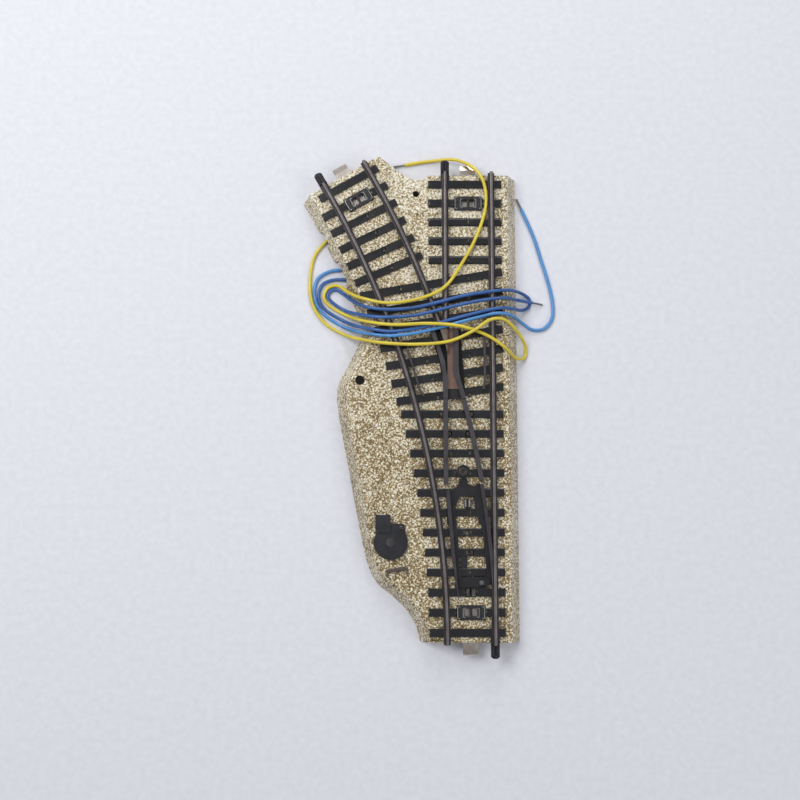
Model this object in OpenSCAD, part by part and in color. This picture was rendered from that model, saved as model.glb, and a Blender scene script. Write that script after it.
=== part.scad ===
// Left-hand turnout of folded tin-plate model track, with an electromagnetic drive.
// Millimetres. X runs across the straight route, Y along it from the toe end, Z up.
// The origin is the middle of the track at the toe end, on the plane that the ballast stands on.

/* [Route] */
// Length of the straight route, end face to end face
straight_len = 180; // [179:0.5:181]
// Centre-line radius of the diverging route
curve_r = 360; // [359:0.5:361]
// Angle that the diverging route turns through
curve_deg = 30; // [29.8:0.1:30.2]
// Half the distance between the two rail heads' middles
rail_x = 9; // [8.9:0.05:9.1]
// Distance from one sleeper to the next
sleeper_pitch = 7.5; // [7.4:0.05:7.6]

/* [Ballast] */
// Half the width of the ballast at its foot
base_half_w = 19; // [18.8:0.1:19.4]
// Height of the ballast's top face
shell_h = 7.4; // [7.2:0.1:7.8]
// Sideways run of the sloping shoulder
slope_run = 3.5; // [3.2:0.1:3.7]
// Thickness of the pressed sheet
sheet_t = 0.6; // [0.5:0.05:0.65]
// Height of the sleepers above the ballast
sleeper_h = 0.7; // [0.6:0.05:0.8]
// Width of a sleeper
sleeper_w = 3.1; // [2.9:0.1:3.3]

/* [Rails] */
// Height of a rail above the sleepers
rail_h = 2.6; // [2.4:0.1:2.8]
// Width of a rail's head
head_w = 1.2; // [1.1:0.05:1.3]
// Width of a rail's foot
foot_w = 2.6; // [2.4:0.1:2.8]
// Thickness of a rail's foot
foot_t = 0.25; // [0.2:0.05:0.3]
// How far the rails stand out of each end
rail_over = 0.8; // [0.4:0.1:1.2]

/* [Points] */
// Angle that the point blades swing through
swing_deg = 4.4; // [4.2:0.1:4.5]
// Free space between a blade and the rail that it closes against
blade_gap = 0.1; // [0.08:0.02:0.2]

/* [Drive] */
// Radius of the hand lever's disc
lever_r = 6.5; // [6:0.1:6.5]
// Outer radius of a coil's winding
coil_r = 2.75; // [2.5:0.05:2.8]
// Radius of the armature's plunger
plunger_r = 1.35; // [1.2:0.05:1.4]

/* [Leads] */
// Diameter of a lead
wire_d = 1.3; // [1.2:0.1:1.4]

/* [Hidden] */
$fn = 48;

// Levels
sleeper_top = shell_h + sleeper_h;
rail_top = sleeper_top + rail_h;
roof_z = shell_h - sheet_t;
unit_z = sleeper_top + foot_t + 0.1;
unit_t = 0.4;
blade_z = unit_z + unit_t;
blade_top = rail_top - 0.1;
strip_z = roof_z - 0.8;
strip_t = 0.3;
slide_z = 4.8;
slide_t = 0.7;
crank_z = strip_z - 0.1;
crank_t = 0.6;

// Plan sizes shared by several pieces
inner_r = curve_r - rail_x;
outer_r = curve_r + rail_x;
gauge_half = rail_x - head_w / 2;
sleeper_left = 15.7;
sleeper_right = 13;
window_y = 1.5 * sleeper_pitch;
window_w = 11;
window_l = 5.6;
spring_w = 5.9;
frog_y0 = 92;
frog_y1 = 119;
flangeway = 2.1;

// Round holes to fix the track down: x, y, radius
fixing_holes = [[-42, 99.4, 1.8], [-20.3, 172.6, 1.25]];

// Pivots
pivot = [-2.7, 64.2];
rivet_r = 1.25;
lever_at = [-30.2, 37.5];
lever_shaft_r = 1.5;
crank_arm = 4.7;
lever_deg = 40;
drive_pin_at = [4, 22.5];
drive_pin_r = 0.8;
coil_x = -36;
coil_z = 3.8;
coil_len = 14;
front_coil_y = 50;
rear_coil_y = 66;
bobbin_bore_r = plunger_r + 0.07;
cover_t = 0.8;
post_places = [[-44.4, 92.5], [-25.5, 92.5], [-25.5, 52]];

// Places of the stud contacts along each route. The heel of the blades takes the place of one,
// and two on each route stand aside where the other route's closure rail crosses.
straight_studs = concat([for (i = [5, 6, 8, 9, 12, 13, 14, 15, 16, 17, 18, 19, 20, 21]) [0, sleeper_y(i)]],
    [[-0.9, sleeper_y(10)], [0.8, sleeper_y(11)]]);
branch_studs = concat([for (y = [sleeper_y(5), sleeper_y(8), sleeper_y(9), 92.6, 99.6, 106.6, 113.6,
    120.6, 127.6, 134.7]) [arc_x(y), y]], [[-7.6, sleeper_y(10)], [-10.9, sleeper_y(11)]]);
branch_end_studs = [for (k = [2:5]) branch_point(sleeper_pitch * (k + 0.5), 0)];

// X of the circle of radius r about the curve's centre, at y
function arc_x(y, r = curve_r) = sqrt(r * r - y * y) - curve_r;
// Middle of sleeper i, counted from the toe end
function sleeper_y(i) = sleeper_pitch * (i + 0.5);
// Heading of the curve at a distance s back from the branch end
function branch_deg(s) = curve_deg - s / curve_r * 180 / PI;
// A point of the branch, s back from its end and w to the right of its middle
function branch_point(s, w) =
    [(curve_r + w) * cos(branch_deg(s)) - curve_r, (curve_r + w) * sin(branch_deg(s))];

// Left foot of the ballast from the branch end down to the toe end
bulge = [
    [-41.2, 118], [-43, 113.5], [-45.2, 109], [-47.4, 104.5], [-49.8, 100.2], [-51.1, 95.5], [-50.8, 90],
    [-50, 84.5], [-48.4, 76], [-46.5, 66], [-44.5, 55], [-42.2, 43], [-40.2, 33.5], [-38, 26.5],
    [-35, 21.5], [-30.5, 17.8], [-25.8, 13.6], [-22.6, 9.6], [-20.3, 5], [-19, 0]
];
shoulder_arc = [for (s = [0:4.5:58.5]) branch_point(s, -base_half_w)];
left_foot = concat(shoulder_arc, smooth(bulge, 3));
right_foot = [[base_half_w, 0], [base_half_w, straight_len]];
// Upright wall between the straight end and the branch end
crotch = [[-15.5, straight_len], [-17.2, 178.4], [-20.6, 178], [-24, 179.4], [-28, 182.2],
    [-31.5, 185.1], branch_point(0, 15.5)];

// The places after each other on a curve through the points, n steps to a span
function smooth(p, n) = concat(
    [for (i = [0:len(p) - 2], k = [0:n - 1]) span(p[max(i - 1, 0)], p[i], p[i + 1],
        p[min(i + 2, len(p) - 1)], k / n)],
    [p[len(p) - 1]]);
function span(a, b, c, d, t) =
    b + (c - a) * t / 2 + (2 * a - 5 * b + 4 * c - d) * t * t / 2 + (3 * b - a - 3 * c + d) * t * t * t / 2;
// Unit vector
function unit(v) = v / norm(v);
// Direction of travel at point i of a line
function heading(p, i) = unit(p[min(i + 1, len(p) - 1)] - p[max(i - 1, 0)]);
// Line p moved to its left by w
function moved_left(p, w) = [for (i = [0:len(p) - 1]) let (h = heading(p, i)) p[i] + w * [-h[1], h[0]]];

// A solid swept along a line in plan; its section is a list of [inset, height]
module swept_wall(line, section) {
    n = len(section);
    m = len(line);
    points = [for (i = [0:m - 1], s = section) let (h = heading(line, i))
        [line[i][0] - h[1] * s[0], line[i][1] + h[0] * s[0], s[1]]];
    sides = [for (i = [0:m - 2], k = [0:n - 1])
        [i * n + k, i * n + (k + 1) % n, (i + 1) * n + (k + 1) % n, (i + 1) * n + k]];
    first = [for (k = [n - 1:-1:0]) k];
    last = [for (k = [0:n - 1]) (m - 1) * n + k];
    polyhedron(points = points, faces = concat(sides, [first], [last]), convexity = 10);
}

// A block between two heights on an outline
module slab(z0, z1, outline) {
    translate([0, 0, z0]) linear_extrude(z1 - z0) polygon(outline);
}

// A box given by its lowest corner and its highest corner
module box(low, high) {
    translate(low) cube(high - low);
}

// Puts a child at an end: its Y axis points out of the track and its X axis to the right
module at_toe() { rotate(180) children(); }
module at_straight() { translate([0, straight_len, 0]) children(); }
module at_branch() {
    translate([branch_point(0, 0)[0], branch_point(0, 0)[1], 0]) rotate(curve_deg) children();
}

// A band of the ring between two radii about the curve's centre, between two values of y
module ring_band(r0, r1, y0, y1, z0, z1) {
    a0 = asin(y0 / r0);
    a1 = asin(y1 / r0);
    translate([-curve_r, 0, z0]) rotate(a0) rotate_extrude(angle = a1 - a0, $fn = 720)
        translate([r0, 0]) square([r1 - r0, z1 - z0]);
}

// Section of a folded rail, standing on the sleepers
module rail_section(top = rail_top) {
    h = head_w / 2;
    polygon([[-foot_w / 2, sleeper_top], [foot_w / 2, sleeper_top], [foot_w / 2, sleeper_top + foot_t],
        [h, sleeper_top + foot_t], [h, top - 0.35], [h - 0.12, top - 0.1], [h - 0.35, top],
        [0.35 - h, top], [0.12 - h, top - 0.1], [-h, top - 0.35], [-h, sleeper_top + foot_t],
        [-foot_w / 2, sleeper_top + foot_t]]);
}

// A straight rail from y0 to y1
module straight_rail(x, y0, y1) {
    translate([x, y1, 0]) rotate([90, 0, 0]) linear_extrude(y1 - y0) rail_section();
}

// A curved rail between two headings of the curve
module curved_rail(r, deg0, deg1) {
    translate([-curve_r, 0, 0]) rotate(deg0) rotate_extrude(angle = deg1 - deg0, $fn = 720)
        translate([r, 0]) rail_section();
}

// Slots that the studs come up through
module stud_slots() {
    for (p = concat(toe_stud_places(), straight_studs, branch_studs, branch_end_studs))
        translate([p[0] - 0.75, p[1] - 1, roof_z - 1]) cube([1.5, 2, 4]);
    for (bar = toe_bars) box([bar[0] - 0.3, 16.9, roof_z - 1], [bar[1] + 0.3, 20.6, 20]);
}

function toe_stud_places() = [[-0.3, sleeper_y(3)], [-1.4, sleeper_y(4)], [0.4, sleeper_y(4)]];
// Longer contacts on the third sleeper: left and right edge of each
toe_bars = [[-1.7, -0.6], [0.3, 1.7]];

// ---------------------------------------------------------------- ballast and sleepers

// Section of the shoulder: outside up the slope and over the edge, then back inside
top_inset = slope_run + 0.9;
shoulder_inside = [[sheet_t, 0], [slope_run, roof_z - 0.9], [slope_run + 0.5, roof_z - 0.25],
    [top_inset, roof_z]];
shoulder_section = concat([[0, 0], [0.85 * slope_run, shell_h - 1.2], [0.95 * slope_run, shell_h - 0.5],
    [slope_run + 0.35, shell_h - 0.12], [top_inset, shell_h]], [for (i = [3:-1:0]) shoulder_inside[i]]);

// Upright wall at an end between two half-widths, with the way out for the contact spring.
// A side as wide as the ballast's foot follows the shoulder, a narrower one is upright.
module end_wall(left, right) {
    difference() {
        rotate([90, 0, 0]) linear_extrude(sheet_t) polygon(concat(
            [for (p = wall_side(left)) [-p[0], p[1]]],
            [for (i = [3:-1:0]) wall_side(right)[i]]));
        box([-4.2, -2, -1], [4.2, 1, roof_z - 0.4]);
    }
}

function wall_side(w) = [for (p = shoulder_inside) [w < base_half_w ? w : w - p[0], p[1]]];

// Flat top with its holes
module deck() difference() {
    slab(roof_z, shell_h,
        concat(moved_left(right_foot, top_inset), crotch, moved_left(left_foot, top_inset)));
    stud_slots();
    at_toe() window_opening();
    at_straight() window_opening();
    at_branch() window_opening();
    translate([pivot[0], pivot[1], 0]) cylinder(r = rivet_r + 0.05, h = 20);
    translate([lever_at[0], lever_at[1], 0]) cylinder(r = lever_shaft_r + 0.05, h = 20);
    for (h = fixing_holes) translate([h[0], h[1], 0]) cylinder(r = h[2], h = 20);
    drive_pin_slot();
}

module ballast_shell() color("tan") {
    deck();
    slab(0, roof_z, concat(crotch, moved_left([for (i = [len(crotch) - 1:-1:0]) crotch[i]], -sheet_t)));
    at_toe() end_wall(base_half_w, base_half_w);
    at_straight() end_wall(15.3, base_half_w);
    at_branch() end_wall(base_half_w, 15.3);
}

// Sloping sides of the same sheet
module ballast_shoulder() color("tan") {
    swept_wall(right_foot, shoulder_section);
    difference() {
        swept_wall(left_foot, shoulder_section);
        lead_notches();
    }
}

// Hole in the ballast for a contact window
module window_opening() {
    box([-window_w / 2, -window_y - window_l / 2, roof_z - 1], [window_w / 2, window_l / 2 - window_y, 20]);
}

module drive_pin_slot() {
    box([-0.4, 20.9, roof_z - 1], [5.2, 23.7, shell_h + 3]);
}

// Notches under the left foot where the leads come out
module lead_notches() {
    box([-60, 153.2, -1], [-50, 158.8, 2.4]);
    box([-56, 137.8, -1], [-43, 147, 2.4]);
}

module toe_sleeper(i) {
    y = sleeper_y(i);
    box([arc_x(y) - sleeper_left, y - sleeper_w / 2, shell_h],
        [sleeper_right, y + sleeper_w / 2, sleeper_top]);
}

module sleepers_toe() color("black") difference() {
    for (i = [0:11]) toe_sleeper(i);
    stud_slots();
    at_toe() window_opening();
    translate([pivot[0], pivot[1], 0]) cylinder(r = rivet_r + 0.05, h = 20);
}

module sleepers_frog() color("black") difference() {
    for (i = [0:6]) {
        left = [arc_x(91 + 6.83 * i, curve_r - sleeper_left), 91 + 6.83 * i];
        right = [sleeper_right, 96.8 + 7.45 * i];
        along = unit(right - left);
        side = sleeper_w / 2 * [-along[1], along[0]];
        slab(shell_h, sleeper_top, [left + side, left - side, right - side, right + side]);
    }
    stud_slots();
}

module sleepers_straight_end() color("black") difference() {
    for (i = [19:23]) box([-15.5, sleeper_y(i) - sleeper_w / 2, shell_h],
        [sleeper_right, sleeper_y(i) + sleeper_w / 2, sleeper_top]);
    stud_slots();
    at_straight() window_opening();
}

module sleepers_branch_end() color("black") difference() {
    for (k = [0:5]) {
        deg = branch_deg(sleeper_pitch * (k + 0.5));
        translate([-curve_r, 0, 0]) rotate(deg)
            box([curve_r - 15.6 + (k == 0 ? 2.4 : 0), -sleeper_w / 2, shell_h],
                [curve_r + 12.8, sleeper_w / 2, sleeper_top]);
    }
    stud_slots();
    at_branch() window_opening();
}

// ---------------------------------------------------------------- rails

end_deg = asin(rail_over / outer_r);

module stock_rail_straight() color("dimgray") straight_rail(rail_x, -rail_over, straight_len + rail_over);

module stock_rail_curved() color("dimgray") curved_rail(inner_r, -end_deg, curve_deg + end_deg);

module exit_rail_straight() color("dimgray") straight_rail(-rail_x, frog_y1 + 0.1, straight_len + rail_over);

module exit_rail_branch() color("dimgray")
    curved_rail(outer_r, asin((frog_y1 + 0.1) / (outer_r - foot_w / 2)), curve_deg + end_deg);

// Closure rails are solid bars with a flat top, from the heel of the blades to the frog
closure_half = 1.15;

module closure_rail_straight() color("black")
    box([-rail_x - closure_half, 59.3, sleeper_top], [-gauge_half, frog_y0 - 0.1, rail_top]);

module closure_rail_curved() color("black")
    ring_band(outer_r - head_w / 2, outer_r + closure_half, 60.6, frog_y0 - 0.6, sleeper_top, rail_top);

module frog_floor_plate() color("rosybrown") difference() {
    slab(sleeper_top, sleeper_top + 0.5, [[-10, frog_y0], [-1.4, frog_y0], [-3.4, frog_y1],
        [-15.4, frog_y1], [-13.2, 112], [-11.6, 106], [-10.4, 100]]);
    box([-20, frog_y0 - 1, 0], [5, frog_y0 + 3.8, 20]);
}

// Wing rails on both sides of the throat, and the bridge in front of it
frog_z = sleeper_top + 0.5;
nose_r = outer_r - head_w / 2;
wing_r = nose_r - flangeway;
wing_x = flangeway - gauge_half;

module frog_wings() color("black") {
    outside_r = outer_r + closure_half;
    slab(sleeper_top, frog_z + 0.4, [[-10.1, frog_y0], [arc_x(frog_y0, outside_r), frog_y0],
        [arc_x(95.7, outside_r), 95.7], [-10.1, 95.7]]);
    // Left wing: along the straight route, then along the branch
    slab(frog_z, rail_top, [[-10.1, frog_y0], [-gauge_half, frog_y0], [-gauge_half, 100.4], [-9.1, 103.5],
        [arc_x(106, wing_r), 106], [arc_x(112, wing_r), 112], [arc_x(frog_y1, wing_r), frog_y1],
        [arc_x(frog_y1, wing_r) - 1.9, frog_y1], [-12.8, 112], [-11.2, 106], [-10.3, 101]]);
    // Right wing: along the branch, then along the straight route
    slab(frog_z, rail_top, [[arc_x(frog_y0, nose_r), frog_y0], [arc_x(frog_y0, outside_r), frog_y0],
        [arc_x(97, outside_r), 97], [-3.9, 101], [-4.3, 106], [-4.4, frog_y1], [wing_x, frog_y1],
        [wing_x, 103], [-5.6, 100], [arc_x(97, nose_r), 97]]);
}

module frog_nose() color("black")
    slab(frog_z, rail_top, [[-gauge_half - 0.1, 109.4], [-gauge_half, 112], [-gauge_half, frog_y1],
        [arc_x(frog_y1, nose_r), frog_y1], [arc_x(115, nose_r), 115], [arc_x(111.5, nose_r), 111.5]]);

// Check rails: a thin upright strip with flared ends on a narrow foot
module check_strip(path, z1) {
    slab(sleeper_top, z1, concat(path, [for (i = [len(path) - 1:-1:0]) path[i] - [0.8, 0]]));
}

module check_rail_straight() color("black")
    check_strip([[5.6, 95.5], [6.2, 98.5], [6.2, 114.5], [5.6, 117.5]], rail_top);

module check_rail_branch() color("black") {
    r = inner_r + 3.4;
    check_strip([[arc_x(92.6, r) + 0.9, 92.6], [arc_x(95.6, r), 95.6], [arc_x(99, r), 99],
        [arc_x(103, r), 103], [arc_x(107, r), 107], [arc_x(110, r), 110],
        [arc_x(113, r) + 0.9, 113]], rail_top);
}

// ---------------------------------------------------------------- ends

joiner_w = 3.3;
joiner_l = 5.85;
joiner_lip = 0.9;

// Tongue with a narrower tip and two lips folded up, with a groove between them
module joiner_tab() color("dimgray") translate([-rail_x, 0, 0]) {
    w = joiner_w / 2;
    slab(shell_h, sleeper_top, [[-w, -2], [w, -2], [w, 5.1], [0.8, joiner_l], [-0.8, joiner_l], [-w, 5.1]]);
    for (x0 = [0.1 - w, 0.35])
        box([x0, rail_over + 0.1, sleeper_top], [x0 + w - 0.45, 4.9, sleeper_top + joiner_lip]);
}

module joiner_tab_toe() at_toe() joiner_tab();
module joiner_tab_straight() at_straight() joiner_tab();
module joiner_tab_branch() at_branch() joiner_tab();

// Insulator block that fills the window, with two openings over the contact spring
module window_insulator() color("black") difference() {
    m = 0.1;
    union() {
        box([m - window_w / 2, m - window_y - window_l / 2, roof_z - 0.9],
            [window_w / 2 - m, window_l / 2 - m - window_y, sleeper_top + 0.1]);
        box([-window_w / 2 - 2, -window_y - window_l / 2 - 1, roof_z - 0.9],
            [window_w / 2 + 2, 0.9 + window_l / 2 - window_y, roof_z - 0.05]);
    }
    for (x = [-1.5, 1.5])
        box([x - 1, -window_y - 1.5, 0], [x + 1, 1.5 - window_y, 20]);
}

module window_insulator_toe() at_toe() window_insulator();
module window_insulator_straight() at_straight() window_insulator();
module window_insulator_branch() at_branch() window_insulator();

// Spring strip under the window that reaches out of the end, with its tip bent down
module contact_spring() color("peru") {
    z = roof_z - 1.3;
    translate([-spring_w / 2, 0, 0]) rotate([90, 0, 90]) linear_extrude(spring_w)
        polygon([[-15.5, z], [-6, z], [-1, z - 0.2], [2.4, z - 0.3], [4.2, z - 0.9], [4.7, z - 1.5],
            [4.9, z - 1.3], [4.5, z - 0.6], [2.6, z + 0.1], [-1, z + 0.15], [-6, z + 0.35],
            [-15.5, z + 0.35]]);
}

module contact_spring_toe() at_toe() contact_spring();
module contact_spring_straight() at_straight() contact_spring();
module contact_spring_branch() at_branch() contact_spring();

// ---------------------------------------------------------------- stud strips

stud_w = 0.6;
stud_l = 1.2;
stud_top = sleeper_top + 0.3;

module stud(p) {
    translate([p[0] - stud_w / 2, p[1] - stud_l / 2, strip_z]) cube([stud_w, stud_l, stud_top - strip_z]);
}

module stud_strip_toe() color("silver") {
    slab(strip_z, strip_z + strip_t, [[-2.4, 17.2], [1.8, 17.2], [1.8, 20.3], [-0.9, 20.3], [-0.9, 24.6],
        [1, 24.6], [1, 35.6], [-2.4, 35.6]]);
    for (p = toe_stud_places()) stud(p);
    for (bar = toe_bars) box([bar[0], 17.3, strip_z], [bar[1], 20.2, stud_top]);
}

module stud_strip_straight() color("silver") {
    box([-0.9, 39.6, strip_z], [0.9, 163.2, strip_z + strip_t]);
    for (p = straight_studs) stud(p);
}

module stud_strip_branch() color("silver") {
    ring_band(curve_r - 0.9, curve_r + 0.9, 39.6, 163.5, strip_z, strip_z + strip_t);
    for (p = concat(branch_studs, branch_end_studs)) stud(p);
}

// ---------------------------------------------------------------- fixed pieces of the points

module pivot_rivet() color("dimgray") translate([pivot[0], pivot[1], 0]) difference() {
    union() {
        translate([0, 0, roof_z - 0.6]) cylinder(r = 1.7, h = 0.6);
        translate([0, 0, roof_z - 0.3]) cylinder(r = rivet_r, h = unit_z + 1 - roof_z + 0.3);
        translate([0, 0, unit_z + 0.9]) cylinder(r = 1.7, h = 0.5);
    }
    translate([0, 0, unit_z + 0.4]) cylinder(r = 0.7, h = 2);
}

module slide_panel() color("black") {
    difference() {
        box([-6, 20.4, shell_h], [6.2, 24.6, sleeper_top - 0.1]);
        drive_pin_slot();
    }
    box([-3.8, 27.9, shell_h], [-1.3, 32.1, sleeper_top]);
}

module heel_contact_block() color("black") box([-2.4, 50.5, shell_h], [0.1, 53.9, unit_z + 0.2]);

module heel_contact_strips() color("silver") for (x = [-2.2, -0.7])
    box([x, 50.8, unit_z + 0.2], [x + 0.6, 53.6, unit_z + 0.75]);

// Raised strip that holds a lantern, on a lug at each end
module lantern_clip() color("gray") translate([-28.1, 27.3, shell_h]) rotate(9.5) {
    box([-3.9, -0.7, 0.75], [3.9, 0.7, 1.1]);
    for (x0 = [-3.9, 3.4]) box([x0, -2.3, 0], [x0 + 0.5, 0.7, 1.1]);
}

// ---------------------------------------------------------------- point blades (swing about the pivot)

// Turns children about the pivot
module about_pivot(deg) {
    translate([pivot[0], pivot[1], 0]) rotate(deg) translate([-pivot[0], -pivot[1], 0]) children();
}

blade_tip_y = 16.5;
heel_y = 57.6;

// At rest the curved blade lies against the straight stock rail
module blade_curved() color("black") difference() {
    face_r = outer_r - head_w / 2;
    union() {
        ring_band(face_r, face_r + 1.4, blade_tip_y, 59.4, blade_z, blade_top);
        ring_band(face_r - 1.6, face_r + 0.2, 24, 59.4, blade_z, blade_z + 0.3);
    }
    box([rail_x - head_w / 2 - blade_gap, 0, 0], [20, 80, 20]);
}

// Drawn closed, for the straight route, then swung open to its rest place
module blade_straight() color("black") about_pivot(swing_deg) difference() {
    union() {
        box([-rail_x - 0.8, blade_tip_y, blade_z], [-gauge_half, heel_y, blade_top]);
        box([-gauge_half - 0.2, 24, blade_z], [1.6 - gauge_half, heel_y, blade_z + 0.3]);
    }
    ring_band(inner_r - 6, inner_r + head_w / 2 + blade_gap, 5, 60, 0, 20);
}

// Plate that joins the two heels and turns on the rivet
module heel_plate() color("black") translate([0, 0, unit_z]) difference() {
    union() {
        linear_extrude(unit_t) polygon([[-8.9, 44], [-6.4, 44], [-6.4, 48.4], [-5.2, 52], [-3.9, 54.8],
            [1, 54.8], [1.9, 50], [3.4, 44], [6, 44], [5.6, 50], [4.9, 55], [4, 58.6], [0.4, 58.9],
            [-1, 59.8], [-1.2, 61.6], [-4.2, 61.6], [-4.4, 59.8], [-5.6, 58], [-9.2, 57.4]]);
        translate([pivot[0], pivot[1], 0]) cylinder(r = 2.6, h = unit_t + 0.4);
    }
    translate([pivot[0], pivot[1], -1]) cylinder(r = rivet_r + 0.07, h = 3);
}

// Bar under the blade tips; its long edges are arcs about the pivot
module tie_bar() color("black") translate([0, 0, unit_z]) difference() {
    reach = pivot[1] - drive_pin_at[1];
    intersection() {
        translate([pivot[0], pivot[1], 0]) cylinder(r = reach + 1.9, h = unit_t, $fn = 360);
        translate([-5.5, 15, 0]) cube([12.8, 12, unit_t]);
    }
    translate([pivot[0], pivot[1], -1]) cylinder(r = reach - 1.5, h = 3, $fn = 360);
    translate([drive_pin_at[0], drive_pin_at[1], -1]) cylinder(r = drive_pin_r + 0.02, h = 3);
}

module drive_pin() color("silver") translate([drive_pin_at[0], drive_pin_at[1], 0]) {
    translate([0, 0, slide_z - 0.4]) cylinder(r = drive_pin_r, h = unit_z + unit_t - slide_z + 0.4);
}

// ---------------------------------------------------------------- drive

module slide_plate() color("silver") difference() {
    slab(slide_z, slide_z + slide_t, [[-24.4, 19.8], [6.4, 19.8], [6.4, 25], [-26.4, 25], [-26.4, 34.6],
        [-31.6, 34.6], [-31.6, 28], [-28.6, 23.6]]);
    box([drive_pin_at[0] - 0.9, 20.8, 0], [drive_pin_at[0] + 0.9, 24, 20]);
    pin_x = lever_at[0] + crank_arm * sin(lever_deg / 2);
    box([pin_x - 0.9, 31.6, 0], [pin_x + 0.9, 34, 20]);
}

module slide_guides() color("gray") for (x = [-22, -12]) difference() {
    box([x, 18.8, slide_z - 0.7], [x + 4, 26, roof_z]);
    box([x - 1, 19.5, slide_z - 0.3], [x + 5, 25.3, roof_z - 0.5]);
}

module hand_lever() color("black") translate([lever_at[0], lever_at[1], shell_h + 0.2]) difference() {
    union() {
        difference() {
            cylinder(r = lever_r, h = 0.9, $fn = 96);
            box([-8, 6, -1], [8, 8, 3]);
        }
        box([-5.8, 3.7, 0], [-0.1, 10.4, 1.7]);
        slab(0, 0.9, [[0, 3], [5.6, 3], [5.2, 6.6], [4.7, 7.1], [0, 7.1]]);
    }
    translate([0, 0, -1]) cylinder(r = 1.05, h = 4);
}

module lever_shaft() color("dimgray") translate([lever_at[0], lever_at[1], 0]) {
    translate([0, 0, crank_z + crank_t]) cylinder(r = 1.5, h = shell_h + 0.2 - crank_z - crank_t);
    translate([0, 0, shell_h]) cylinder(r = 1, h = 1.2);
    translate([0, 0, shell_h + 1.1]) cylinder(r = 1.7, h = 0.4);
}

module lever_crank() color("silver") translate([lever_at[0], lever_at[1], 0]) {
    side = lever_deg / 2;
    slide_pin = crank_arm * [sin(side), -cos(side)];
    armature_pin = crank_arm * [cos(side), sin(side)];
    translate([0, 0, crank_z]) cylinder(r = 2.4, h = crank_t);
    for (p = [slide_pin, armature_pin]) {
        translate([0, 0, crank_z]) rotate(atan2(p[1], p[0])) translate([0, -1, 0])
            cube([crank_arm, 2, crank_t]);
        translate([p[0], p[1], crank_z]) cylinder(r = 1.1, h = crank_t);
    }
    translate([slide_pin[0], slide_pin[1], slide_z - 0.3]) cylinder(r = 0.8, h = crank_z - slide_z + 0.5);
    translate([armature_pin[0], armature_pin[1], coil_z - 0.8])
        cylinder(r = 0.8, h = crank_z - coil_z + 1);
}

module lever_rivet() color("dimgray") translate([lever_at[0] + 4, lever_at[1] + 5.5, shell_h + 1.1]) {
    cylinder(r = 0.85, h = 0.5);
    translate([0, 0, 0.5]) cylinder(r1 = 0.85, r2 = 0.4, h = 0.3);
}

// Plunger, push rod and the fork that the crank's pin works in
module armature() color("silver") {
    translate([coil_x, 53, coil_z]) rotate([-90, 0, 0]) cylinder(r = plunger_r, h = 24);
    translate([coil_x, 40, coil_z]) rotate([-90, 0, 0]) cylinder(r = 0.5, h = 14);
    difference() {
        box([coil_x - 1.4, 37.2, coil_z - 0.5], [-23.6, 41, coil_z + 0.5]);
        box([-27.2, 38.2, 0], [-24.4, 40, 20]);
    }
}

module bobbin(y) translate([coil_x, y, coil_z]) rotate([-90, 0, 0])
    difference() {
        union() {
            cylinder(r = bobbin_bore_r + 0.35, h = coil_len);
            cylinder(r = coil_r + 0.1, h = 0.7);
            translate([0, 0, coil_len - 0.7]) cylinder(r = coil_r + 0.1, h = 0.7);
        }
        translate([0, 0, -1]) cylinder(r = bobbin_bore_r, h = coil_len + 2);
    }

module winding(y) translate([coil_x, y + 0.75, coil_z]) rotate([-90, 0, 0])
    rotate_extrude() translate([bobbin_bore_r + 0.4, 0])
        square([coil_r - bobbin_bore_r - 0.4, coil_len - 1.5]);

module bobbin_front() color("ivory") bobbin(front_coil_y);
module bobbin_rear() color("ivory") bobbin(rear_coil_y);
module winding_front() color("sienna") winding(front_coil_y);
module winding_rear() color("sienna") winding(rear_coil_y);

// Steel strip along the coils with an ear at each end and one between them
module coil_yoke() color("gray") difference() {
    y1 = rear_coil_y + coil_len;
    union() {
        box([coil_x + 3, front_coil_y - 1, 1], [coil_x + 3.8, y1 + 1, roof_z]);
        for (y = [front_coil_y - 1, (front_coil_y + coil_len + rear_coil_y - 0.9) / 2, y1 + 0.1])
            box([coil_x - 3, y, 1], [coil_x + 3.4, y + 0.9, roof_z - 0.2]);
        for (y = [front_coil_y + 3, rear_coil_y + 5])
            box([coil_x + 3, y, roof_z - 0.6], [coil_x + 8, y + 6, roof_z]);
    }
    translate([coil_x, front_coil_y - 2, coil_z]) rotate([-90, 0, 0]) cylinder(r = plunger_r + 0.15, h = 40);
}

cover_outline = [[-22.5, 24], [-22.5, 95.5], [-46, 95.5], [-47.6, 91.5], [-45.4, 75], [-41.3, 50],
    [-38.6, 36], [-36, 27], [-32.5, 24]];

module drive_cover() color("darkkhaki") difference() {
    slab(0, cover_t, cover_outline);
    for (p = post_places) translate([p[0], p[1], -1]) cylinder(r = 1.85, h = 1.45);
    for (p = post_places) translate([p[0], p[1], -1]) cylinder(r = 1.0, h = 3);
}

module cover_posts() color("gray") for (p = post_places) translate([p[0], p[1], 0]) difference() {
    translate([0, 0, cover_t]) cylinder(r = 1.7, h = roof_z - cover_t);
    cylinder(r = 0.92, h = 4.6);
}

module cover_screws() color("silver") for (p = post_places) translate([p[0], p[1], 0]) difference() {
    union() {
        cylinder(r = 1.75, h = 0.42);
        cylinder(r = 0.9, h = 4.2);
    }
    translate([-2, -0.2, -0.1]) cube([4, 0.4, 0.3]);
}

// ---------------------------------------------------------------- leads

// Insulating board inside the left wall, along the curve, with the tags that the leads are soldered to
module terminal_board() color("saddlebrown")
    ring_band(inner_r - 3.4, inner_r - 2.4, 136, 161, 0.4, 4.4);

tag_places = [141.6, 145.6, 157.8];

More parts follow.
